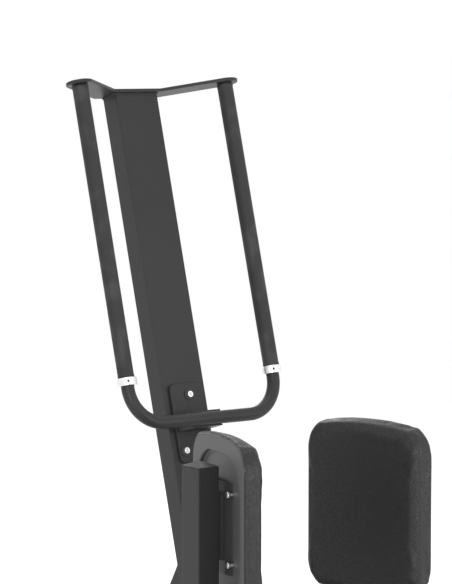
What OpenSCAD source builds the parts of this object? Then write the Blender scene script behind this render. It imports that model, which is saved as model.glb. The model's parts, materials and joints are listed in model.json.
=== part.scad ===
// Standing gym machine: a leaning upright with two long hand grips, and two thigh pads
// on arms that swing outwards against weight plates. Millimetres, Z up, the user faces +Y.

/* [Upright and top plate] */
// Height of the upright's front top edge above the floor
upright_top_z = 1560; // [1300:10:1900]
// How far back the upright leans, in degrees
lean = 15.8; // [8:0.1:20]
// Width of the upright tube
upright_w = 124; // [90:1:150]
// Depth of the upright tube
upright_d = 57; // [40:1:80]
// Wall of the upright tube
upright_wall = 4; // [2:0.5:6]
// Thickness of the winged top plate
top_plate_t = 8; // [5:1:12]
// How far the top plate stands in front of the upright
top_plate_front = 10; // [0:1:20]

/* [Grips] */
// Distance between the two grip centres
grip_spacing = 429; // [360:1:520]
// Distance from the upright's face to the grip centres
grip_reach = 79; // [60:1:120]
// Outer diameter of the rubber grips
grip_d = 40; // [34:1:46]
// Length of the rubber grips
grip_len = 715; // [400:5:760]
// Outer diameter of the bent grip tube
grip_tube_d = 32; // [25:1:34]
// Wall of the bent grip tube
grip_tube_wall = 2.5; // [1.5:0.5:4]
// Height of the bent tube from the top plate to its lower run
grip_tube_drop = 830; // [800:5:900]
// Bend radius of the grip tube at its centre line
grip_bend_r = 88; // [50:1:90]
// Outer diameter of the metal collars
collar_d = 48; // [44:1:54]
// Length of the metal collars
collar_len = 19; // [12:1:30]

/* [Tube bracket] */
// Width of the bracket plate
bracket_w = 92; // [80:1:110]
// Height of the bracket plate
bracket_h = 193; // [160:1:240]
// Thickness of the bracket plate
bracket_t = 8; // [4:1:12]
// Width of the saddle block that carries the tube
saddle_w = 84; // [60:1:92]
// Height of the saddle block
saddle_h = 40; // [36:1:60]

/* [Pads] */
// Width of a pad
pad_w = 337; // [240:1:400]
// Height of a pad
pad_h = 420; // [300:5:500]
// Height of the pads' top edges above the floor
pad_top_z = 804; // [700:1:900]
// Thickness of a whole pad
pad_t = 51; // [40:1:80]
// Thickness of the moulded back shell, let into the cushion
shell_t = 16; // [14:1:24]
// How much of the cover shows round the shell's edge
cover_wrap = 4; // [2:0.5:10]
// Angle by which the pads turn towards the user's back, in degrees
pad_turn = 15.4; // [0:0.1:20]
// Distance from the middle plane to the middle of a pad's back
pad_x = 227; // [200:1:260]
// Corner radius of a pad
pad_corner_r = 76; // [30:1:100]
// Radius of the arched top and bottom edges
pad_crown_r = 790; // [500:10:1200]
// Width of the shell's rim beside its recess
rim_side = 28; // [20:1:40]
// Width of the shell's rim above its recess
rim_top = 41; // [25:1:50]
// Depth of the shell's recess
recess_depth = 12; // [8:1:12]
// Corner radius of the recess
recess_corner_r = 100; // [40:1:120]

/* [Swing arms] */
// Width of an arm's post, across the machine
post_w = 58; // [50:1:70]
// Depth of an arm's post, along the machine
post_d = 66; // [50:1:80]
// Height of the posts' tops above the floor
post_top_z = 741; // [680:1:760]
// Wall of the arm tubes
arm_wall = 3; // [2:0.5:5]
// Distance from the middle plane to a pivot
pivot_x = 440; // [420:1:500]
// Height of the pivots
pivot_z = 150; // [140:1:180]
// Diameter of the pivot shafts
shaft_d = 25; // [20:1:32]
// Outer diameter of a pivot hub
hub_d = 60; // [52:1:70]
// Length of a pivot hub
hub_len = 110; // [90:1:130]

/* [Weight pegs] */
// Outer diameter of the sleeve that the plates slide on
peg_d = 49; // [28:0.5:50]
// Usable length of the pegs
peg_len = 220; // [100:5:260]
// Height of the pegs above the floor
peg_z = 300; // [280:5:340]
// Distance from the middle plane to a peg
peg_x = 340; // [320:1:350]

/* [Base] */
// Length of the base
base_len = 1200; // [1150:10:1400]
// Width of the front and rear crossbeams
base_w = 640; // [500:10:800]
// Width of the base tubes
beam_w = 80; // [60:1:100]
// Height of the base tubes
beam_h = 60; // [50:1:80]
// Wall of the base tubes
beam_wall = 3; // [2:0.5:5]
// Height of the rubber feet
foot_h = 15; // [10:1:30]
// Width of the standing platform
platform_w = 420; // [340:5:430]
// Thickness of the platform plate
platform_t = 4; // [3:0.5:8]
// Thickness of the rubber mat
mat_t = 6; // [4:0.5:10]

/* [Hidden] */
$fn = 64;
eps = 0.01;
fit_gap = 0.2;           // room round a tube in its saddle, grip or collar
run_gap = 0.05;          // radial running clearance of the pivot shafts
stop_gap = 0.3;          // gap above a rest stop
beam_top = foot_h + beam_h;
upright_y = 480;         // front top edge of the upright, along the machine
upright_foot_y = upright_y - (upright_top_z - beam_top) * tan(lean);
foot_plate_t = 8;
foot_plate_w = upright_w + 60;
foot_plate_len = 150;
foot_mid_y = upright_foot_y + upright_d / 2 + 5;
foot_bolt_x = 26;
foot_bolt_in = 14;       // foot plate bolts in from the plate's ends
platform_gap = 5;        // room between the platform and the foot plate
platform_y1 = foot_mid_y - foot_plate_len / 2 - platform_gap;
tube_r = grip_tube_d / 2;
disc_r = 33;             // round ends of the top plate
wing_bend_x = upright_w / 2 + 6;
grip_top_gap = 2;        // bare tube above a grip
collar_t = -grip_top_gap - grip_len - collar_len / 2;
bracket_mid_t = 2 - grip_tube_drop;
bracket_r = 14;
bolt_top_x = 6;          // the single upper bracket bolt
bolt_low_x = 30;         // the pair of lower bracket bolts
bolt_up = 68;            // bolts above and below the bracket's middle
bolt_head_d = 15;
bolt_shank_d = 10;
bolt_head_h = 7;
hex_head_d = 18;
socket_d = 9;            // hexagon socket in a bracket bolt
socket_depth = 5;
washer_d = 25;
washer_t = 2.5;
pad_ahead = 657;         // from the upright's top edge forward to the pads
pad_y = upright_y - pad_ahead;
post_back = 17;          // a post stands this far behind its pad's middle
post_y = pad_y + post_back;
post_clear = 1.5;        // room between a post and its turned pad
post_x = pad_x + post_w / 2 + (pad_y - post_y + post_d / 2) * tan(pad_turn) + post_clear;
post_bottom_z = pivot_z - hub_d / 2;
cap_h = 9;               // sloped end cap of a post
cap_inset = 21;
cap_plug = 15;           // the cap goes this far into the post
pad_mid_z = pad_top_z - pad_h / 2;
pad_plate_w = 160;
pad_plate_h = 210;
pad_plate_t = 8;
pad_bolt_e = 65;
pad_bolt_head_d = 15;
pad_bolt_z = 80;
pad_bolt_head_h = 6;
crank_s = hub_d;         // the crank is as tall as the hub
side_s = 50;             // square tube that carries a peg
peg_plate_y = 30;
peg_plate_t = 10;
peg_flange_d = 120;
peg_flange_t = 8;
peg_core_d = 25;
peg_cap_t = 6;
ear_t = 10;
ear_w = 90;
ear_gap = 7;
ear_base_t = 8;
bush_t = 3;
bush_flange_t = 3;
bush_flange_d = 44;
bush_len = 30;
shaft_head_d = 40;
shaft_head_t = 5;
platform_lip = 24;
stop_x = 315;
stop_d = 40;
pivot_beam_over = 62;    // the pivot crossbeam beyond each pivot
pivot_beam_w = 2 * (pivot_x + pivot_beam_over);
brace_s = 40;
brace_top_z = 480;
brace_foot_in = 60;      // the brace's foot in from the rear crossbeam
brace_head_in = 20;      // the brace starts this far inside the upright, and is cut to fit it

paint = [0.16, 0.16, 0.17];
rubber = [0.08, 0.08, 0.08];
bright = [0.8, 0.8, 0.8];
leather = [0.1, 0.1, 0.1];
moulded = [0.22, 0.22, 0.23];

// A box given by its lowest and highest corners
module span(lo, hi) { translate(lo) cube(hi - lo); }

// A closed box tube from lo to hi, hollow with the given wall, running along axis a
module box_tube(lo, hi, wall, a) {
    grow = [for (i = [0:2]) i == a ? eps : -wall];
    difference() {
        span(lo, hi);
        span(lo - grow, hi + grow);
    }
}

// The leaning frame: x across, y back from the upright's face, z along it from the top plate
module leaning() { translate([0, upright_y, upright_top_z]) rotate([-lean, 0, 0]) children(); }

// A round bar along Y
module bar_y(x, y0, y1, z, d) { translate([x, y1, z]) rotate([90, 0, 0]) cylinder(d = d, h = y1 - y0); }

// ---- base ----
module crossbeam(y, w) {
    color(paint) box_tube([-w / 2, y - beam_w / 2, foot_h], [w / 2, y + beam_w / 2, beam_top], beam_wall, 0);
}
front_y = -(base_len - beam_w) / 2;
rear_y = (base_len - beam_w) / 2;
module front_crossbeam() { crossbeam(front_y, base_w); }
module pivot_crossbeam() { crossbeam(post_y, pivot_beam_w); }
module rear_crossbeam() { crossbeam(rear_y, base_w); }
module spine(y0, y1) {
    color(paint) box_tube([-beam_w / 2, y0, foot_h], [beam_w / 2, y1, beam_top], beam_wall, 1);
}
module front_spine() { spine(front_y + beam_w / 2, post_y - beam_w / 2); }
module rear_spine() { spine(post_y + beam_w / 2, rear_y - beam_w / 2); }

// Plastic caps: a flange over the tube's end and a plug inside it
module beam_cap(x, y) {
    s = sign(x);
    plug = 15;
    cap_t = 4;
    translate([x, y, foot_h + beam_h / 2]) scale([s, 1, 1]) {
        span([0, -beam_w / 2, -beam_h / 2], [cap_t, beam_w / 2, beam_h / 2]);
        span([-plug, beam_wall - beam_w / 2, beam_wall - beam_h / 2],
            [eps, beam_w / 2 - beam_wall, beam_h / 2 - beam_wall]);
    }
}
module beam_end_caps() {
    color(rubber) for (s = [-1, 1]) {
        beam_cap(s * base_w / 2, front_y);
        beam_cap(s * base_w / 2, rear_y);
        beam_cap(s * pivot_beam_w / 2, post_y);
    }
}
foot_d = 60;
module rubber_feet() {
    color(rubber) for (s = [-1, 1]) {
        for (y = [front_y, rear_y]) translate([s * (base_w / 2 - foot_d / 2), y, 0])
            cylinder(d = foot_d, h = foot_h);
        translate([s * (pivot_beam_w / 2 - foot_d / 2), post_y, 0]) cylinder(d = foot_d, h = foot_h);
    }
}

// ---- platform ----
module platform_plate() {
    top = beam_top + platform_t;
    color(paint) difference() {
        union() {
            span([-platform_w / 2, -base_len / 2, beam_top], [platform_w / 2, platform_y1, top]);
            for (s = [-1, 1]) translate([s * (platform_w - platform_t) / 2, 0, 0])
                span([-platform_t / 2, -base_len / 2, top - platform_lip],
                    [platform_t / 2, platform_y1, top]);
        }
        for (y = [front_y, post_y]) span([-platform_w, y - beam_w / 2 - 1, foot_h],
            [platform_w, y + beam_w / 2 + 1, beam_top]);
    }
}
module platform_mat() {
    inset = 12;
    groove = 3;
    pitch = 30;
    z0 = beam_top + platform_t;
    color(rubber) difference() {
        span([inset - platform_w / 2, inset - base_len / 2, z0],
            [platform_w / 2 - inset, platform_y1 - inset, z0 + mat_t]);
        for (y = [pitch - base_len / 2 : pitch : platform_y1 - pitch])
            span([-platform_w, y, z0 + mat_t - groove], [platform_w, y + groove, z0 + mat_t + 1]);
    }
}

// ---- upright ----
upright_len = upright_top_z / cos(lean) + upright_d;
module upright_solid(inset) {
    leaning() span([inset - upright_w / 2, inset, -upright_len],
        [upright_w / 2 - inset, upright_d - inset, 0]);
}
module above(z) { intersection() { children(); span([-900, -900, z], [900, 900, 2500]); } }
module upright() {
    color(paint) above(beam_top + foot_plate_t) difference() {
        upright_solid(0);
        upright_solid(upright_wall);
    }
}
module at_foot_bolts() {
    along = foot_plate_len / 2 - foot_bolt_in;
    for (x = [-1, 1], y = [-1, 1])
        translate([x * foot_bolt_x, foot_mid_y + y * along, beam_top + foot_plate_t]) children();
}
module upright_foot_plate() {
    color(paint) difference() {
        span([-foot_plate_w / 2, foot_mid_y - foot_plate_len / 2, beam_top],
            [foot_plate_w / 2, foot_mid_y + foot_plate_len / 2, beam_top + foot_plate_t]);
        at_foot_bolts() translate([0, 0, -20]) cylinder(d = bolt_shank_d + 1, h = 40);
    }
}
module foot_plate_bolts() {
    color(bright) at_foot_bolts() {
        cylinder(d = hex_head_d, h = bolt_head_h, $fn = 6);
        translate([0, 0, -foot_plate_t]) cylinder(d = bolt_shank_d, h = foot_plate_t + 1);
    }
}
brace_foot_y = rear_y - beam_w / 2 - brace_foot_in;
brace_head_y = upright_y + upright_d / cos(lean) - (upright_top_z - brace_top_z) * tan(lean)
    - brace_head_in;
module rear_brace() {
    rise = brace_top_z - beam_top;
    run = brace_foot_y - brace_head_y;
    angle = atan(run / rise);
    over = brace_s;
    color(paint) above(beam_top) difference() {
        translate([0, brace_foot_y, beam_top]) rotate([angle, 0, 0]) difference() {
            span([-brace_s / 2, -brace_s / 2, -over], [brace_s / 2, brace_s / 2, norm([rise, run]) + over]);
            span([beam_wall - brace_s / 2, beam_wall - brace_s / 2, -2 * over],
                [brace_s / 2 - beam_wall, brace_s / 2 - beam_wall, 2 * norm([rise, run])]);
        }
        leaning() span([-upright_w, -600, -upright_len], [upright_w, upright_d, 0]);
    }
}

// ---- top plate: a middle strip and two swept wings with round ends ----
wing_run = [grip_spacing / 2 - wing_bend_x, grip_reach - top_plate_front];
wing_angle = atan2(wing_run[1], wing_run[0]) + asin(disc_r / norm(wing_run));
module top_plate() {
    color(paint) leaning() mirror([0, 1, 0]) linear_extrude(top_plate_t) {
        translate([-wing_bend_x, -upright_d]) square([2 * wing_bend_x, upright_d + top_plate_front]);
        for (s = [-1, 1]) scale([s, 1]) {
            translate([grip_spacing / 2, grip_reach]) circle(r = disc_r);
            intersection() {
                translate([grip_spacing / 2, grip_reach]) rotate(180 + wing_angle)
                    translate([0, -disc_r]) square([norm(wing_run) + 80, 2 * disc_r]);
                translate([wing_bend_x - eps, -upright_d]) square([grip_spacing, grip_spacing]);
            }
        }
    }
}

// ---- grips ----
// The bent tube's path in the leaning frame, as a solid of the given radius
module grip_path(r) {
    drop = grip_tube_drop - grip_bend_r;
    half = grip_spacing / 2;
    translate([0, -grip_reach, 0]) {
        for (s = [-1, 1]) {
            translate([s * half, 0, -drop]) cylinder(r = r, h = drop);
            translate([s * (half - grip_bend_r), 0, -drop]) scale([s, 1, 1]) rotate([-90, 0, 0])
                rotate_extrude(angle = 90) translate([grip_bend_r, 0]) circle(r = r);
        }
        translate([grip_bend_r - half, 0, -grip_tube_drop]) rotate([0, 90, 0])
            cylinder(r = r, h = 2 * (half - grip_bend_r));
    }
}
module grip_tube() {
    color(paint) leaning() difference() {
        grip_path(tube_r);
        grip_path(tube_r - grip_tube_wall);
    }
}
module at_grip(side, t) { leaning() translate([side * grip_spacing / 2, -grip_reach, t]) children(); }
module sleeve(d, h) {
    difference() {
        cylinder(d = d, h = h);
        translate([0, 0, -1]) cylinder(d = grip_tube_d + 2 * fit_gap, h = h + 2);
    }
}
module grip(side) { color(rubber) at_grip(side, -grip_top_gap - grip_len) sleeve(grip_d, grip_len); }
module left_grip() { grip(-1); }
module right_grip() { grip(1); }
screw_d = 6;
screw_turn = -25;        // the set screws face the user, a little to the left
module at_collar_screw(side) {
    at_grip(side, collar_t) rotate([90, 0, screw_turn]) translate([0, 0, tube_r + fit_gap]) children();
}
module collar(side) {
    color(bright) difference() {
        at_grip(side, collar_t - collar_len / 2) sleeve(collar_d, collar_len);
        at_collar_screw(side) translate([0, 0, -1]) cylinder(d = screw_d, h = collar_d);
    }
}
module left_collar() { collar(-1); }
module right_collar() { collar(1); }
module collar_screws() {
    color(rubber) for (s = [-1, 1]) at_collar_screw(s) cylinder(d = screw_d - 2 * run_gap, h = 6);
}

// ---- tube bracket ----
module rounded_plate(w, h, r) {
    square([w - 2 * r, h], center = true);
    square([w, h - 2 * r], center = true);
    for (x = [-1, 1], y = [-1, 1]) translate([x * (w / 2 - r), y * (h / 2 - r)]) circle(r = r);
}
bolt_spots = [[bolt_top_x, bolt_up], [-bolt_low_x, -bolt_up], [bolt_low_x, -bolt_up]];
// Children stand on the bracket plate's face, pointing away from the upright
module at_bracket() { leaning() translate([0, 0, bracket_mid_t]) rotate([90, 0, 0]) children(); }
module bracket_plate() {
    color(paint) at_bracket() difference() {
        linear_extrude(bracket_t) rounded_plate(bracket_w, bracket_h, bracket_r);
        for (p = bolt_spots) translate([p[0], p[1], -1]) cylinder(d = bolt_shank_d + 1, h = bracket_t + 2);
    }
}
module bracket_washers() {
    color(rubber) at_bracket() for (p = bolt_spots) translate([p[0], p[1], bracket_t]) difference() {
        cylinder(d = washer_d, h = washer_t);
        translate([0, 0, -1]) cylinder(d = bolt_shank_d + 1, h = washer_t + 2);
    }
}
module socket_bolt(shank) {
    difference() {
        cylinder(d = bolt_head_d, h = bolt_head_h);
        translate([0, 0, bolt_head_h - socket_depth]) cylinder(d = socket_d, h = socket_depth + 1, $fn = 6);
    }
    translate([0, 0, -shank]) cylinder(d = bolt_shank_d, h = shank + 1);
}
module bracket_bolts() {
    color(bright) at_bracket() for (p = bolt_spots)
        translate([p[0], p[1], bracket_t + washer_t]) socket_bolt(bracket_t + washer_t);
}
module saddle() {
    color(paint) leaning() difference() {
        span([-saddle_w / 2, -grip_reach, -grip_tube_drop - saddle_h / 2],
            [saddle_w / 2, -bracket_t, -grip_tube_drop + saddle_h / 2]);
        translate([-saddle_w, -grip_reach, -grip_tube_drop]) rotate([0, 90, 0])
            cylinder(r = tube_r + fit_gap, h = 2 * saddle_w);
    }
}

// ---- pivots ----
ear_in = hub_len / 2 + ear_gap;
module pivot_ears() {
    color(paint) for (s = [-1, 1]) {
        span([s * pivot_x - ear_w / 2, post_y - ear_in - ear_t, beam_top],
            [s * pivot_x + ear_w / 2, post_y + ear_in + ear_t, beam_top + ear_base_t]);
        for (y = [post_y - ear_in - ear_t, post_y + ear_in]) difference() {
            union() {
                span([s * pivot_x - ear_w / 2, y, beam_top + ear_base_t - eps],
                    [s * pivot_x + ear_w / 2, y + ear_t, pivot_z]);
                bar_y(s * pivot_x, y, y + ear_t, pivot_z, ear_w);
            }
            bar_y(s * pivot_x, y - 1, y + ear_t + 1, pivot_z, shaft_d + 2 * run_gap);
        }
    }
}
shaft_half = ear_in + ear_t + 2;
module shaft(side) {
    color(bright) bar_y(side * pivot_x, post_y - shaft_half, post_y + shaft_half, pivot_z, shaft_d);
}
module left_shaft() { shaft(-1); }
module right_shaft() { shaft(1); }
module shaft_end_bolts() {
    color(bright) for (s = [-1, 1], e = [-1, 1]) translate([s * pivot_x, post_y + e * shaft_half, pivot_z])
        rotate([-90 * e, 0, 0]) {
            cylinder(d = shaft_head_d, h = shaft_head_t);
            translate([0, 0, shaft_head_t - eps]) cylinder(d = hex_head_d, h = bolt_head_h, $fn = 6);
        }
}
module rest_stops() {
    color(rubber) for (s = [-1, 1]) translate([s * stop_x, post_y, beam_top])
        cylinder(d = stop_d, h = post_bottom_z - beam_top - stop_gap);
}

// ---- swing arms, drawn for the right side and mirrored for the left ----
module on_side(side) { scale([side, 1, 1]) children(); }
bush_bore = shaft_d + 2 * run_gap;
bush_d = shaft_d + 2 * bush_t;
// Upright box post with a closed bottom
module post(side) {
    color(paint) on_side(side) translate([post_x, post_y, 0]) difference() {
        span([-post_w / 2, -post_d / 2, post_bottom_z], [post_w / 2, post_d / 2, post_top_z - cap_h]);
        span([arm_wall - post_w / 2, arm_wall - post_d / 2, post_bottom_z + arm_wall],
            [post_w / 2 - arm_wall, post_d / 2 - arm_wall, post_top_z]);
    }
}
module left_post() { post(-1); }
module right_post() { post(1); }
// Hub on the pivot shaft and the tube from it to the post
module crank(side) {
    x0 = post_x + post_w / 2;
    color(paint) on_side(side) translate([0, post_y, pivot_z]) difference() {
        union() {
            span([x0, -crank_s / 2, -crank_s / 2], [pivot_x, crank_s / 2, crank_s / 2]);
            bar_y(pivot_x, -hub_len / 2, hub_len / 2, 0, hub_d);
        }
        span([x0 - 1, arm_wall - crank_s / 2, arm_wall - crank_s / 2],
            [pivot_x - hub_d / 2, crank_s / 2 - arm_wall, crank_s / 2 - arm_wall]);
        bar_y(pivot_x, -hub_len, hub_len, 0, bush_d);
    }
}
module left_crank() { crank(-1); }
module right_crank() { crank(1); }
// Tube and upright plate that carry the weight peg
module peg_arm(side) {
    color(paint) on_side(side) {
        span([peg_x - side_s / 2, post_y + crank_s / 2, pivot_z - side_s / 2],
            [peg_x + side_s / 2, peg_plate_y + eps, pivot_z + side_s / 2]);
        span([peg_x - side_s / 2, peg_plate_y, pivot_z - side_s / 2],
            [peg_x + side_s / 2, peg_plate_y + peg_plate_t, peg_z]);
        bar_y(peg_x, peg_plate_y, peg_plate_y + peg_plate_t, peg_z, side_s);
    }
}
module left_peg_arm() { peg_arm(-1); }
module right_peg_arm() { peg_arm(1); }
module bushes(side) {
    color("goldenrod") on_side(side) for (e = [-1, 1])
        translate([pivot_x, post_y + e * hub_len / 2, pivot_z]) rotate([-90 * e, 0, 0]) difference() {
            union() {
                cylinder(d = bush_flange_d, h = bush_flange_t);
                translate([0, 0, -bush_len]) cylinder(d = bush_d, h = bush_len + eps);
            }
            translate([0, 0, -bush_len - 1]) cylinder(d = bush_bore, h = bush_len + bush_flange_t + 2);
        }
}
module left_bushes() { bushes(-1); }
module right_bushes() { bushes(1); }
// Sloped cap that closes the post
module post_cap(side) {
    w = post_w / 2;
    d = post_d / 2;
    in = cap_inset;
    z0 = post_top_z - cap_h;
    color(moulded) on_side(side) translate([post_x, post_y, z0]) {
        polyhedron(points = [[-w, -d, 0], [w, -d, 0], [w, d, 0], [-w, d, 0],
                [in - w, in - d, cap_h], [w - in, in - d, cap_h],
                [w - in, d - in, cap_h], [in - w, d - in, cap_h]],
            faces = [[0, 1, 2, 3], [4, 7, 6, 5], [0, 4, 5, 1], [1, 5, 6, 2], [2, 6, 7, 3], [3, 7, 4, 0]]);
        span([arm_wall - w, arm_wall - d, -cap_plug], [w - arm_wall, d - arm_wall, eps]);
    }
}
module left_post_cap() { post_cap(-1); }
module right_post_cap() { post_cap(1); }

// Pad frame: x across the pad, y up, z from the pad's back plane to the user
module at_pad(side) {
    on_side(side) translate([pad_x, pad_y, pad_mid_z]) rotate([0, 0, pad_turn]) rotate([90, 0, -90])
        children();
}
// Rounded outline with arched top and bottom
module pad_outline(w, h, r) {
    intersection() {
        rounded_plate(w, h, r);
        translate([0, h / 2 - pad_crown_r]) circle(r = pad_crown_r, $fn = 256);
        translate([0, pad_crown_r - h / 2]) circle(r = pad_crown_r, $fn = 256);
    }
}
module at_pad_bolts() {
    for (x = [-1, 1], y = [-1, 1]) translate([x * pad_bolt_e, y * pad_bolt_z, 0]) children();
}
module shell_outline() {
    pad_outline(pad_w - 2 * cover_wrap, pad_h - 2 * cover_wrap, pad_corner_r - cover_wrap);
}
module pad_shell(side) {
    color(moulded) at_pad(side) difference() {
        linear_extrude(shell_t) shell_outline();
        translate([0, 0, -1]) linear_extrude(recess_depth + 1)
            pad_outline(pad_w - 2 * rim_side, pad_h - 2 * rim_top, recess_corner_r);
        at_pad_bolts() cylinder(d = bolt_shank_d - 1, h = shell_t + 1);
    }
}
module left_pad_shell() { pad_shell(-1); }
module right_pad_shell() { pad_shell(1); }
module pad_cushion(side) {
    color(leather) at_pad(side) difference() {
        linear_extrude(pad_t) pad_outline(pad_w, pad_h, pad_corner_r);
        translate([0, 0, -1]) linear_extrude(shell_t + 1) shell_outline();
    }
}
module left_pad_cushion() { pad_cushion(-1); }
module right_pad_cushion() { pad_cushion(1); }
plate_z = recess_depth - pad_plate_t;
module pad_bracket(side) {
    block_w = 50;
    block_h = 150;
    block_reach = 40;    // past the post's face, where it is cut to fit
    pad_plate_r = 12;
    color(paint) difference() {
        at_pad(side) {
            difference() {
                translate([0, 0, plate_z]) linear_extrude(pad_plate_t)
                    rounded_plate(pad_plate_w, pad_plate_h, pad_plate_r);
                at_pad_bolts() cylinder(d = bolt_shank_d, h = shell_t);
            }
            span([-block_w / 2, -block_h / 2, -block_reach], [block_w / 2, block_h / 2, plate_z + 1]);
        }
        on_side(side) span([post_x - post_w / 2, -900, 0], [900, 900, post_top_z + pad_h]);
    }
}
module left_pad_bracket() { pad_bracket(-1); }
module right_pad_bracket() { pad_bracket(1); }
module pad_bolts(side) {
    color(bright) at_pad(side) at_pad_bolts() translate([0, 0, plate_z]) rotate([180, 0, 0]) {
        cylinder(d = pad_bolt_head_d, h = pad_bolt_head_h);
        translate([0, 0, 1 - shell_t + plate_z]) cylinder(d = bolt_shank_d - 2, h = shell_t - plate_z);
    }
}
module left_pad_bolts() { pad_bolts(-1); }
module right_pad_bolts() { pad_bolts(1); }

peg_y = peg_plate_y + peg_plate_t;
module peg_core(side) {
    color(bright) on_side(side) bar_y(peg_x, peg_y, peg_y + peg_flange_t + peg_len, peg_z, peg_core_d);
}
module left_peg_core() { peg_core(-1); }
module right_peg_core() { peg_core(1); }
module ring_y(y, h, outer, inner) {
    difference() {
        bar_y(peg_x, y, y + h, peg_z, outer);
        bar_y(peg_x, y - 1, y + h + 1, peg_z, inner);
    }
}
module peg_sleeve(side) {
    color(bright) on_side(side) ring_y(peg_y + peg_flange_t, peg_len, peg_d, peg_core_d + 2 * run_gap);
}
module left_peg_sleeve() { peg_sleeve(-1); }
module right_peg_sleeve() { peg_sleeve(1); }
module peg_flange(side) {
    color(paint) on_side(side) ring_y(peg_y, peg_flange_t, peg_flange_d, peg_core_d + 2 * run_gap);
}
module left_peg_flange() { peg_flange(-1); }
module right_peg_flange() { peg_flange(1); }
module peg_cap(side) {
    y = peg_y + peg_flange_t + peg_len;
    color(rubber) on_side(side) bar_y(peg_x, y, y + peg_cap_t, peg_z, peg_d - 1);
}
module left_peg_cap() { peg_cap(-1); }
module right_peg_cap() { peg_cap(1); }

front_crossbeam();
pivot_crossbeam();
rear_crossbeam();
front_spine();
rear_spine();
beam_end_caps();
rubber_feet();
platform_plate();
platform_mat();
upright_foot_plate();
upright();
rear_brace();
top_plate();
grip_tube();
left_grip();
right_grip();
left_collar();
right_collar();
collar_screws();
bracket_plate();
saddle();
bracket_washers();
bracket_bolts();
foot_plate_bolts();
pivot_ears();
left_shaft();
right_shaft();
shaft_end_bolts();
rest_stops();
left_post();
left_crank();
left_peg_arm();
left_post_cap();
left_bushes();
left_pad_bracket();
left_pad_shell();
left_pad_cushion();
left_pad_bolts();
left_peg_core();
left_peg_sleeve();
left_peg_flange();
left_peg_cap();
right_post();
right_crank();
right_peg_arm();
right_post_cap();
right_bushes();
right_pad_bracket();
right_pad_shell();
right_pad_cushion();
right_pad_bolts();
right_peg_core();
right_peg_sleeve();
right_peg_flange();
right_peg_cap();
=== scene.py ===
import json
import math

import bmesh
import bpy
from mathutils import Matrix, Vector, noise


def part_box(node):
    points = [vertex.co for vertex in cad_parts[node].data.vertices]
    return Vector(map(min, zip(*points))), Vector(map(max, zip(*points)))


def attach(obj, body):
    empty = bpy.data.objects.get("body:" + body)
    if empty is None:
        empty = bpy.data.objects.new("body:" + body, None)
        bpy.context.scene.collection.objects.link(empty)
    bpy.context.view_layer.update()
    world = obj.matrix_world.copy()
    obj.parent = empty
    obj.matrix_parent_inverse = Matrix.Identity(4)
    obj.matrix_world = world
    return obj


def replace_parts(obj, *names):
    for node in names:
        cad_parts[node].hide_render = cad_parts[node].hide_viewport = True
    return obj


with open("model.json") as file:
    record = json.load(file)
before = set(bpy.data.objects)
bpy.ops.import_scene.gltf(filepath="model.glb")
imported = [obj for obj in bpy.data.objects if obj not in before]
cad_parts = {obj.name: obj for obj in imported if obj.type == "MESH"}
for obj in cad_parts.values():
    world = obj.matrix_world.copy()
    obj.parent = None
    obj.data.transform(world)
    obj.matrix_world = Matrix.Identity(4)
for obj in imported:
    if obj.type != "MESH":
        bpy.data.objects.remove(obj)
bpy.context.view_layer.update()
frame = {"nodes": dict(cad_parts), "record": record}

MM = 0.001
LEAN = math.radians(15.8)        # the upright leans back by this much
PAD_TURN = math.radians(15.4)    # the pads face the middle and a little towards the user's back
UPRIGHT_DEPTH = 57 * MM
FRAME, LEFT, RIGHT = "frame", "left_swing", "right_swing"


# ---- places in the frame ----
def centre(node):
    low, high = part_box(node)
    return (low + high) / 2


UPRIGHT_TOP = Vector((0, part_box("upright")[1].y - UPRIGHT_DEPTH * math.cos(LEAN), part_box("upright")[1].z))
LEANING = Matrix.Translation(UPRIGHT_TOP) @ Matrix.Rotation(-LEAN, 4, "X")
GRIP_X = centre("right_grip").x
GRIP_Y = -79 * MM


def in_lean(x, y, z):
    """A point in the leaning frame: x across, y back from the upright's face, z down from the top plate."""
    return LEANING @ Vector((x, y, z))


# ---- camera ----
def make_camera():
    """A long lens at about head height, on the machine's front left, looking down a little."""
    azimuth, pitch = math.radians(-36), math.radians(5.04)
    distance, across, up = 6.871, 0.222, -0.492
    lens_mm, sensor_mm, furthest = 171.554795, 36, 900
    level = math.cos(pitch)
    away = Vector((-math.sin(azimuth) * level, math.cos(azimuth) * level, -math.sin(pitch)))
    right = Vector((math.cos(azimuth), math.sin(azimuth), 0))
    above = right.cross(away)
    bpy.ops.object.camera_add(location=UPRIGHT_TOP - away * distance + right * across + above * up)
    camera = bpy.context.object
    camera.rotation_mode = "QUATERNION"
    camera.rotation_quaternion = away.to_track_quat("-Z", "Y")
    camera.data.lens = lens_mm
    camera.data.sensor_width = sensor_mm
    camera.data.clip_end = furthest
    bpy.context.scene.camera = camera


# ---- materials ----
class Sock:
    """A wrapped socket, with the operators that the materials use."""

    def __init__(self, mat, socket):
        self.mat, self.socket = mat, socket

    def _maths(self, op, other, swap=False):
        pair = (other, self) if swap else (self, other)
        return self.mat.node("ShaderNodeMath", {"operation": op}, {0: pair[0], 1: pair[1]})

    def __add__(self, other): return self._maths("ADD", other)
    def __radd__(self, other): return self._maths("ADD", other, True)
    def __sub__(self, other): return self._maths("SUBTRACT", other)
    def __rsub__(self, other): return self._maths("SUBTRACT", other, True)
    def __mul__(self, other): return self._maths("MULTIPLY", other)


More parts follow.
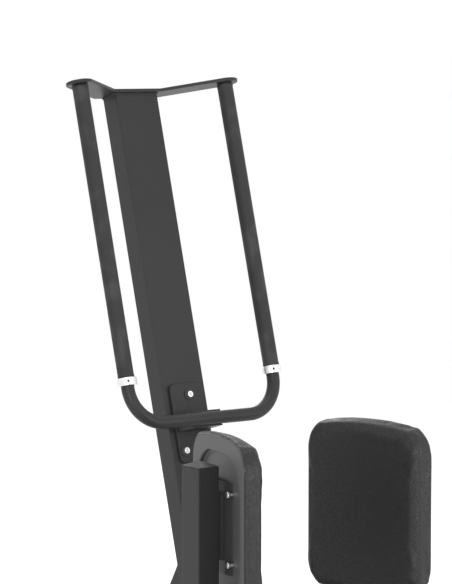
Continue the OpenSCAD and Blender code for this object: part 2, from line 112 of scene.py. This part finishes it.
class Finish:
    """A material in the making: node() adds any node, and the rest are patterns that the finishes share."""

    def __init__(self, name, **fixed):
        self.material = bpy.data.materials.new(name)
        self.material.use_nodes = True
        self.tree = self.material.node_tree
        self.shader = self.tree.nodes["Principled BSDF"]
        for socket, value in fixed.items():
            self.shader.inputs[socket.replace("_", " ")].default_value = value

    def node(self, kind, settings=None, values=None, out=0):
        made = self.tree.nodes.new(kind)
        for key, value in (settings or {}).items():
            setattr(made, key, value)
        for key, value in (values or {}).items():
            if isinstance(value, Sock):
                self.tree.links.new(value.socket, made.inputs[key])
            else:
                made.inputs[key].default_value = value
        return Sock(self, made.outputs[out])

    def place(self, scale=(1, 1, 1), turn=(0, 0, 0)):
        spot = self.node("ShaderNodeTexCoord", out="Object")
        return self.node("ShaderNodeMapping", values={"Vector": spot, "Scale": scale, "Rotation": turn})

    def noise(self, size, detail=3.0, rough=0.5, where=None):
        """Cloudy noise whose features are about size metres across."""
        values = {"Scale": 1 / size, "Detail": detail, "Roughness": rough, "Vector": where or self.place()}
        return self.node("ShaderNodeTexNoise", values=values)

    def cells(self, size, where, feature="F1"):
        """Distances to scattered points that are about size metres apart."""
        return self.node("ShaderNodeTexVoronoi", {"feature": feature}, {"Scale": 1 / size, "Vector": where})

    def step(self, value, low, high):
        """0 below low and 1 above high, with a smooth ramp between."""
        return self.node("ShaderNodeMapRange", {"interpolation_type": "SMOOTHSTEP"},
                         {"Value": value, "From Min": low, "From Max": high})

    def blend(self, amount, first, second):
        """The first colour, going over to the second as amount goes from 0 to 1."""
        values = {"Factor": amount, 6: first, 7: second}
        return self.node("ShaderNodeMix", {"data_type": "RGBA"}, values, out=2)

    def wear(self, **inputs):
        """Wires patterns into the shader's inputs."""
        for socket, value in inputs.items():
            self.tree.links.new(value.socket, self.shader.inputs[socket.replace("_", " ")])

    def bump(self, height, depth, strength):
        made = self.node("ShaderNodeBump", values={"Height": height, "Distance": depth, "Strength": strength})
        self.wear(Normal=made)


def grey(tone, tint=0.0):
    """A grey, made bluer by tint."""
    return (tone, tone, tone * (1 + tint), 1)


def powder_coat(name, tone):
    """Dark satin powder coat: orange peel, faint clouding, rubbed patches and a few fine scuffs."""
    coat = Finish(name, Specular_IOR_Level=0.22)
    cloud = coat.noise(0.22, 4)
    rubbed = coat.step(coat.noise(0.05, 5, 0.6), 0.52, 0.72)
    scuffs = coat.step(coat.noise(0.004, 2, 0.5, coat.place((1, 1, 0.06), (0.3, 0.9, 0.2))), 0.66, 0.74)
    base = coat.blend(cloud, grey(tone * 0.86, 0.02), grey(tone * 1.16, 0.05))
    coat.wear(Base_Color=coat.blend(scuffs * 0.22, base, grey(tone * 2.2)),
              Roughness=0.38 + cloud * 0.06 + rubbed * 0.025 + scuffs * 0.06)
    peel = coat.noise(0.0022, 2)
    grit = coat.noise(0.0006, 1)
    coat.bump(peel * 0.7 + grit * 0.3, 0.00012, 0.5)
    return coat.material


def grained_leather(name, tone):
    """Upholstery vinyl with a pebbled grain: creases between the pebbles, painted darker as painted shade,
    and pores.
    """
    hide = Finish(name, Specular_IOR_Level=0.40)
    drift = hide.noise(0.012, 2)
    spot = hide.node("ShaderNodeTexCoord", out="Object")
    warp = hide.node("ShaderNodeVectorMath", {"operation": "MULTIPLY_ADD"},
                     {0: hide.noise(0.006, 2), 1: (0.0016, 0.0016, 0.0016), 2: spot})
    pebbles = hide.cells(0.0034, warp, "SMOOTH_F1")
    small = hide.cells(0.0015, warp)
    creases_and_shade = hide.step(pebbles, 0.30, 0.62)
    pores = hide.step(hide.noise(0.0012, 2), 0.58, 0.7)
    base = hide.blend(drift, grey(tone * 0.75, 0.03), grey(tone * 1.3, 0.04))
    # the crease mask also paints the creases darker: painted shade in them, on top of their bump
    hide.wear(Base_Color=hide.blend(creases_and_shade * 0.55, base, grey(tone * 0.45)),
              Roughness=0.34 + drift * 0.08 + creases_and_shade * 0.2)
    hide.bump(1 - creases_and_shade * 0.75 - small * 0.2 - pores * 0.18, 0.0005, 0.75)
    return hide.material


def grip_rubber(name, tone):
    """Matte moulded rubber with a fine sandy skin and hand-polished patches."""
    skin = Finish(name, Specular_IOR_Level=0.4)
    patches = skin.step(skin.noise(0.06, 4), 0.45, 0.65)
    speck = skin.noise(0.0009, 2)
    skin.wear(Base_Color=skin.blend(patches, grey(tone * 0.8), grey(tone * 1.25)),
              Roughness=0.62 - patches * 0.12 + speck * 0.1)
    skin.bump(speck, 0.00018, 0.6)
    return skin.material


def moulded_plastic(name, tone, rough=0.42):
    """Moulded plastic with a fine spark-eroded texture and faint flow marks."""
    shell = Finish(name, Specular_IOR_Level=0.5)
    flow = shell.noise(0.08, 3, 0.5, shell.place((1, 1, 0.3)))
    grain = shell.noise(0.0008, 2)
    shell.wear(Base_Color=shell.blend(flow, grey(tone * 0.88, 0.05), grey(tone * 1.12, 0.08)),
               Roughness=rough + flow * 0.06 + grain * 0.06)
    shell.bump(grain, 0.0001, 0.4)
    return shell.material


def bare_metal(name, colour, rough, grain, turn=(0, 0, 0)):
    """Metal with drawn or turned lines and a few dull smudges."""
    bar = Finish(name, Metallic=1.0)
    lines = bar.noise(0.0007, 3, 0.7, bar.place(grain, turn))
    smudge = bar.step(bar.noise(0.018, 4), 0.48, 0.7)
    dark = tuple(c * 0.78 for c in colour) + (1,)
    bar.wear(Base_Color=bar.blend(smudge * 0.5 + lines * 0.3, colour + (1,), dark),
             Roughness=rough + lines * 0.12 + smudge * 0.1)
    bar.bump(lines, 0.00004, 0.5)
    return bar.material


def studio_floor():
    floor = Finish("studio_floor", Roughness=0.7)
    floor.wear(Base_Color=floor.blend(floor.noise(0.6, 3), grey(0.93), grey(0.95)))
    return floor.material


FINISHES = {
    "frame_paint": powder_coat("frame_paint", 0.025),
    "grip_rubber": grip_rubber("grip_rubber", 0.020),
    "pad_leather": grained_leather("pad_leather", 0.011),
    "moulded_shell": moulded_plastic("moulded_shell", 0.045),
    "bright_collar": bare_metal("bright_collar", (0.86, 0.86, 0.87), 0.22, (0.08, 1, 1), (LEAN, 0, 0)),
    "bolt_steel": bare_metal("bolt_steel", (0.82, 0.82, 0.83), 0.24, (1, 1, 1)),
    "polished_steel": bare_metal("polished_steel", (0.62, 0.62, 0.63), 0.16, (1, 0.1, 1)),
    "bush_bronze": bare_metal("bush_bronze", (0.50, 0.34, 0.15), 0.38, (1, 1, 1)),
    "black_rubber": grip_rubber("black_rubber", 0.022),
    "black_trim": moulded_plastic("black_trim", 0.020, 0.5),
}
SLOT_OF = {part["node"]: part["material_slot"] for part in frame["record"]["subparts"]}
BODY_OF = {node: body for body, nodes in frame["record"]["behaviour"]["bodies"].items() for node in nodes}


# ---- making pieces ----
def only(piece):
    """Makes this the active object and the only one selected."""
    if bpy.context.object and bpy.context.object.mode != "OBJECT":
        bpy.ops.object.mode_set(mode="OBJECT")
    bpy.ops.object.select_all(action="DESELECT")
    piece.select_set(True)
    bpy.context.view_layer.objects.active = piece


def put(name, data):
    """A new object with this mesh or curve, active and selected."""
    piece = bpy.data.objects.new(name, data)
    bpy.context.scene.collection.objects.link(piece)
    only(piece)
    return piece


def apply(piece, kind, **settings):
    """Adds a modifier with these settings and applies it."""
    only(piece)
    modifier = piece.modifiers.new(kind.lower(), kind)
    for key, value in settings.items():
        setattr(modifier, key, value)
    bpy.ops.object.modifier_apply(modifier=modifier.name)


def dress(piece, slot, body, smooth=35):
    """Gives a finished piece its material, its shading and the body that it moves with."""
    piece.data.materials.clear()
    piece.data.materials.append(FINISHES[slot])
    only(piece)
    bpy.ops.object.shade_smooth_by_angle(angle=math.radians(smooth))
    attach(piece, body)
    return piece


def copy_of(node, name):
    """A merged copy of a CAD node's mesh, with flat faces whole again."""
    mesh = frame["nodes"][node].data.copy()
    mesh.name = name
    piece = put(name, mesh)
    bpy.ops.object.mode_set(mode="EDIT")
    bpy.ops.mesh.select_all(action="SELECT")
    bpy.ops.mesh.remove_doubles(threshold=0.02 * MM)
    bpy.ops.mesh.dissolve_limited(angle_limit=math.radians(0.6))
    bpy.ops.mesh.normals_make_consistent(inside=False)
    bpy.ops.object.mode_set(mode="OBJECT")
    return piece


def weigh_edges(mesh, sharp, weigh):
    """Gives each edge that turns by more than sharp degrees the bevel weight weigh(edge), and the rest 0."""
    work = bmesh.new()
    work.from_mesh(mesh)
    layers = work.edges.layers.float
    weight = layers.get("bevel_weight_edge") or layers.new("bevel_weight_edge")
    for edge in work.edges:
        turned = len(edge.link_faces) == 2 and edge.calc_face_angle(0) > math.radians(sharp)
        edge[weight] = weigh(edge) if turned else 0.0
    work.to_mesh(mesh)
    work.free()


def eased(node, width, shortest=0.0, segments=3):
    """A CAD node with its edges rounded by a width in mm, as a bent, cut or moulded edge really is.

    Edges no longer than shortest mm, as round a small hole, stay sharp.
    """
    piece = copy_of(node, node + "_eased")
    weigh_edges(piece.data, 35, lambda edge: 1.0 if edge.calc_length() > shortest * MM else 0.0)
    apply(piece, "BEVEL", width=width * MM, segments=segments, limit_method="WEIGHT",
          use_clamp_overlap=True, miter_outer="MITER_ARC")
    dress(piece, SLOT_OF[node], BODY_OF[node])
    apply(piece, "WEIGHTED_NORMAL", keep_sharp=True)
    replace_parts(piece, node)
    return piece


def swept(name, path, radius, resolution, swells=None):
    """A round bar of a radius in mm along a path. Swells gives each point's share of it, in a closed loop."""
    curve = bpy.data.curves.new(name, "CURVE")
    curve.dimensions = "3D"
    curve.bevel_depth = radius * MM
    curve.bevel_resolution = resolution
    curve.use_fill_caps = swells is None
    spline = curve.splines.new("POLY")
    spline.points.add(len(path) - 1)
    for i, (spot, point) in enumerate(zip(spline.points, path)):
        spot.co = (*point, 1)
        spot.radius = swells[i] if swells else 1.0
    spline.use_cyclic_u = swells is not None
    put(name, curve)
    bpy.ops.object.convert(target="MESH")
    return bpy.context.object


def weld(name, corners, body, size=3.2):
    """A weld bead round these corners: overlapping ripples of paint-covered metal."""
    ripple, plain, rise, wander = 0.45, 0.82, 0.16, 0.14
    path = []
    for a, b in zip(corners, corners[1:] + corners[:1]):
        count = max(2, int((b - a).length / (size * ripple * MM)))
        path += [a.lerp(b, i / count) for i in range(count)]
    swells = [plain + rise * math.sin(i * 2.1) + wander * noise.noise(point * 90)
              for i, point in enumerate(path)]
    return dress(swept(name, path, size, 1, swells), "frame_paint", body, 60)


def ring(low, high, axis, at):
    """The corners of a box's section at a place along X (axis 0) or Y (axis 1)."""
    other = 1 - axis
    corners = []
    for side, level in ((low, low), (high, low), (high, high), (low, high)):
        corner = Vector((0, 0, level.z))
        corner[axis], corner[other] = at, side[other]
        corners.append(corner)
    return corners


def turned_bar(name, profile, matrix, slot, body):
    """A lathe-turned piece: (radius, height) pairs in mm, spun about the matrix's Z axis."""
    sides = 96
    mesh = bpy.data.meshes.new(name)
    points = [(r * MM, 0, h * MM) for r, h in profile]
    mesh.from_pydata(points, [(i, (i + 1) % len(points)) for i in range(len(points))], [])
    piece = put(name, mesh)
    bpy.ops.object.mode_set(mode="EDIT")
    bpy.ops.mesh.select_all(action="SELECT")
    bpy.ops.mesh.spin(steps=sides, angle=2 * math.pi, center=(0, 0, 0), axis=(0, 0, 1))
    bpy.ops.mesh.select_all(action="SELECT")
    bpy.ops.mesh.remove_doubles(threshold=0.01 * MM)
    bpy.ops.mesh.normals_make_consistent(inside=False)
    bpy.ops.object.mode_set(mode="OBJECT")
    mesh.transform(matrix)
    return dress(piece, slot, body, 40)


# ---- frame ----
def base():
    for node in ("front_crossbeam", "pivot_crossbeam", "rear_crossbeam", "front_spine", "rear_spine"):
        eased(node, 2.8)     # kept under the tube's wall, so the inside stays inside
    eased("beam_end_caps", 2)
    eased("rubber_feet", 2.5, segments=2)
    eased("upright_foot_plate", 1, 4)
    eased("rear_brace", 2.5)
    eased("platform_plate", 1.2)
    eased("platform_mat", 0.8, segments=2)
    eased("rest_stops", 3)
    eased("pivot_ears", 1.2, segments=2)
    for node in ("front_spine", "rear_spine"):
        low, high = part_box(node)
        weld(node + "_weld_front", ring(low, high, 1, low.y), FRAME)
        weld(node + "_weld_rear", ring(low, high, 1, high.y), FRAME)


def upright():
    eased("upright", 7, segments=5)
    eased("top_plate", 1.0, segments=2)
    eased("bracket_plate", 1.4, 1.2)
    eased("saddle", 3, 1.2)
    eased("bracket_washers", 0.5, segments=2)
    eased("bracket_bolts", 1.0, segments=3)
    eased("foot_plate_bolts", 0.8, segments=2)
    eased("shaft_end_bolts", 1.0, segments=2)
    half, sunk = 62 * MM, 1.0 * MM
    corners = ((-half, 0), (half, 0), (half, UPRIGHT_DEPTH), (-half, UPRIGHT_DEPTH))
    weld("top_plate_weld", [in_lean(x, y, -sunk) for x, y in corners], FRAME, 3)
    foot_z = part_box("upright")[0].z + sunk

    def at_foot(x, y):
        """Where a corner of the leaning tube meets the foot plate."""
        top, bottom = in_lean(x, y, 0), in_lean(x, y, -1)
        return top.lerp(bottom, (foot_z - top.z) / (bottom.z - top.z))

    weld("upright_foot_weld", [at_foot(x, y) for x, y in corners], FRAME, 4)


def grip_tube():
    """The bent tube that the grips slide on, down one side, across and up the other."""
    tube_r, drop, bend_r, bend_steps = 16, 830, 88, 24
    half, top = GRIP_X / MM, -0.2
    path = [(-half, top)]
    for side in (-1, 1):
        for i in range(bend_steps + 1):
            turn = math.radians(90 * i / bend_steps)
            turn = turn if side < 0 else math.pi / 2 - turn
            path.append((side * (half - bend_r + bend_r * math.cos(turn)),
                         bend_r - drop - bend_r * math.sin(turn)))
    path.append((half, top))
    tube = swept("bent_grip_tube", [in_lean(x * MM, GRIP_Y, z * MM) for x, z in path], tube_r, 14)
    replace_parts(dress(tube, "frame_paint", FRAME, 50), "grip_tube")


def grips():
    """Rubber grips with a rounded lip at each end, and collars with eased edges."""
    grip_top, grip_len, grip_r, bore = -2, 715, 20, 16.2
    waist, band = 0.5, 60      # the grip is this much slimmer between its lips, in bands this long
    lip = [(1.6, 0), (waist, 0.5), (0, 1.8), (0, 7), (waist, 8)]      # inset in radius, and in from the end
    low = grip_top - grip_len
    outline = [(bore, low)] + [(grip_r - inset, low + along) for inset, along in lip]
    outline += [(grip_r - waist, low + band + i * band) for i in range(10)]
    outline += [(grip_r - inset, grip_top - along) for inset, along in reversed(lip)] + [(bore, grip_top)]
    for side, name in ((-1, "left"), (1, "right")):
        place = LEANING @ Matrix.Translation((side * GRIP_X, GRIP_Y, 0))
        grip = turned_bar(name + "_grip_rubber", outline, place, "grip_rubber", FRAME)
        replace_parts(grip, name + "_grip")
        eased(name + "_collar", 1.2, 0.6)


# ---- swing arms ----
def arm(name, side, body):
    eased(name + "_post", 2.8)
    eased(name + "_crank", 2.6, 5)
    eased(name + "_peg_arm", 2.5, 4)
    eased(name + "_post_cap", 1.5)
    eased(name + "_pad_bracket", 1.2, 1.5)
    eased(name + "_peg_flange", 1.2)
    eased(name + "_peg_cap", 2)
    eased(name + "_peg_sleeve", 0.8)
    eased(name + "_pad_bolts", 2.2, segments=4)
    low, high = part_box(name + "_crank")
    post_low, post_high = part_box(name + "_post")
    joint_x = post_high.x if side > 0 else post_low.x
    tube_y = centre(name + "_post").y
    half = (high.z - low.z) / 2
    crank_low = Vector((0, tube_y - half, low.z))
    crank_high = Vector((0, tube_y + half, high.z))
    weld(name + "_crank_weld", ring(crank_low, crank_high, 0, joint_x), body)
    peg_tube, peg_plate_t = 50 * MM, 10 * MM
    peg_low, peg_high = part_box(name + "_peg_arm")
    peg_top = Vector((peg_high.x, 0, peg_low.z + peg_tube))
    weld(name + "_peg_arm_weld", ring(peg_low, peg_top, 1, tube_y + half), body)
    weld(name + "_peg_plate_weld", ring(peg_low, peg_top, 1, peg_high.y - peg_plate_t), body, 3)


# ---- pads ----
def pad_frame(name, side):
    """Axes at a pad's shell: x across it towards the user's back, y up, z out to the user's leg."""
    out = Vector((-side * math.cos(PAD_TURN), -math.sin(PAD_TURN), 0))
    across = Vector((side * math.sin(PAD_TURN), -math.cos(PAD_TURN), 0))
    frame_ = Matrix((across, (0, 0, 1), out)).transposed().to_4x4()
    return Matrix.Translation(centre(name)) @ frame_


def slab(piece, front_z, back_z):
    """Keeps only a mesh's front face, and extrudes it back into a plain slab."""
    only(piece)
    bpy.ops.object.mode_set(mode="EDIT")
    bpy.ops.mesh.select_mode(type="FACE")
    bpy.ops.mesh.select_all(action="DESELECT")
    bpy.ops.object.mode_set(mode="OBJECT")
    for face in piece.data.polygons:
        at_front = face.center.z >= front_z - 1 * MM and abs(face.normal.z) >= 0.9
        face.select = not at_front
    bpy.ops.object.mode_set(mode="EDIT")
    bpy.ops.mesh.delete(type="FACE")
    bpy.ops.mesh.select_all(action="SELECT")
    bpy.ops.mesh.delete_loose(use_verts=True, use_edges=True, use_faces=False)
    bpy.ops.mesh.select_all(action="SELECT")
    bpy.ops.mesh.extrude_region_move(TRANSFORM_OT_translate={"value": (0, 0, back_z - front_z)})
    bpy.ops.mesh.select_all(action="SELECT")
    bpy.ops.mesh.normals_make_consistent(inside=False)
    bpy.ops.object.mode_set(mode="OBJECT")


def resize(mesh, half_wide, half_high):
    """Gives an outline this half width and half height."""
    wide, high = (max(abs(v.co[axis]) for v in mesh.vertices) for axis in (0, 1))
    for v in mesh.vertices:
        v.co.x *= half_wide / wide
        v.co.y *= half_high / high


def cushion(name, side, body):
    """A foam cushion in a leather cover that wraps round the shell's edge: tight, with soft edges."""
    shell_t, wrap, behind = 16.5 * MM, 15 * MM, 0.8 * MM      # wrap is the cover's width behind the edge
    edge_r, voxel, swelling, proud = 12.5 * MM, 5 * MM, 2.5 * MM, 1.5 * MM
    node = name + "_pad_cushion"
    local = pad_frame(node, side)
    piece = copy_of(node, name + "_leather_cushion")
    piece.data.transform(local.inverted())
    half_wide, half_high, half = (max(v.co[axis] for v in piece.data.vertices) for axis in range(3))
    slab(piece, half, behind - half)
    pocket = piece.copy()
    pocket.data = piece.data.copy()
    bpy.context.scene.collection.objects.link(pocket)
    resize(pocket.data, half_wide - wrap, half_high - wrap)
    for v in pocket.data.vertices:
        v.co.z = shell_t - half if v.co.z > 0 else -2 * half
    resize(piece.data, half_wide - swelling, half_high - swelling)
    for v in piece.data.vertices:
        v.co.z -= swelling if v.co.z > 0 else 0

    def roundness(edge):
        """Full at the front rim, slight at the back rim, and none on the edges between them."""
        front, back = (all(v.co.z * end > 0 for v in edge.verts) for end in (1, -1))
        return 1.0 if front else 0.15 if back else 0.0

    weigh_edges(piece.data, 60, roundness)
    apply(piece, "BEVEL", width=edge_r, segments=7, limit_method="WEIGHT", use_clamp_overlap=False)
    apply(piece, "REMESH", mode="VOXEL", voxel_size=voxel)
    swell(piece, half)
    apply(piece, "SMOOTH", iterations=4, factor=0.5)
    apply(piece, "SUBSURF", levels=1, render_levels=1)
    resize(piece.data, half_wide + proud, half_high)
    apply(piece, "BOOLEAN", operation="DIFFERENCE", object=pocket, solver="EXACT")
    bpy.data.objects.remove(pocket)
    piece.data.transform(local)
    dress(piece, "pad_leather", body, 60)
    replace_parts(piece, node)


def swell(piece, thick):
    """Blows the cover up from inside with the back held, then caps how far any point has moved."""
    back_edge, most, last_step = 4 * MM, 4.5 * MM, 20
    start = [v.co.copy() for v in piece.data.vertices]
    held = piece.vertex_groups.new(name="held")
    held.add([v.index for v in piece.data.vertices if v.co.z < back_edge - thick], 1.0, "REPLACE")
    only(piece)
    cloth = piece.modifiers.new("cover", "CLOTH")
    cloth.settings.quality = 5
    cloth.settings.mass = 0.4
    cloth.settings.tension_stiffness = 40
    cloth.settings.compression_stiffness = 40
    cloth.settings.bending_stiffness = 4
    cloth.settings.vertex_group_mass = "held"
    cloth.settings.use_pressure = True
    cloth.settings.uniform_pressure_force = 4
    cloth.settings.effector_weights.gravity = 0
    cloth.point_cache.frame_start, cloth.point_cache.frame_end = 1, last_step
    for step in range(1, last_step + 1):
        bpy.context.scene.frame_set(step)
    bpy.ops.object.modifier_apply(modifier="cover")
    bpy.context.scene.frame_set(1)
    for v, was in zip(piece.data.vertices, start):
        moved = v.co - was
        if moved.length > most:
            v.co = was + moved.normalized() * most


def pad(name, side, body):
    """A pad: a moulded shell, and a cushion in front of it."""
    shell = eased(name + "_pad_shell", 4.5, 3.2, 4)
    shell.name = name + "_moulded_shell"
    cushion(name, side, body)


# ---- the rest ----
def finish_nodes():
    """Gives every CAD node its finish, for those that still show."""
    for node, piece in frame["nodes"].items():
        piece.data.materials.clear()
        piece.data.materials.append(FINISHES[SLOT_OF[node]])


def studio():
    """A pale floor as far as the camera sees, a white world and four soft lamps."""
    floor_wide, sky = 600, 1.06
    bpy.ops.mesh.primitive_plane_add(size=floor_wide, location=(0, 0, 0))
    floor = bpy.context.object
    floor.name = "studio_floor"
    floor.data.materials.append(studio_floor())
    world = bpy.data.worlds.new("studio")
    bpy.context.scene.world = world
    world.use_nodes = True
    world.node_tree.nodes["Background"].inputs["Color"].default_value = (1, 1, 1, 1)
    world.node_tree.nodes["Background"].inputs["Strength"].default_value = sky
    for name, spot, aim, size, power in (
            ("key", (2.2, -5.0, 1.3), (0, 0, 0.9), (2.4, 1.8), 70),
            ("side", (-3.2, -3.8, 1.5), (0, 0, 0.7), (1.6, 2.6), 80),
            ("top", (0, 0.3, 4.5), (0, 0, 0.8), (3, 3), 35),
            ("back", (1.5, 4.0, 2.6), (0, 0, 1.0), (2, 2), 40)):
        bpy.ops.object.light_add(type="AREA", location=spot)
        lamp = bpy.context.object
        lamp.name = name
        lamp.data.shape = "RECTANGLE"
        lamp.data.size, lamp.data.size_y = size
        lamp.data.energy = power
        lamp.rotation_mode = "QUATERNION"
        lamp.rotation_quaternion = (Vector(aim) - Vector(spot)).to_track_quat("-Z", "Y")


bpy.context.scene.view_settings.view_transform = "Standard"
make_camera()
base()
upright()
grip_tube()
grips()
for arm_name, arm_side, arm_body in (("left", -1, LEFT), ("right", 1, RIGHT)):
    arm(arm_name, arm_side, arm_body)
    pad(arm_name, arm_side, arm_body)
finish_nodes()
studio()
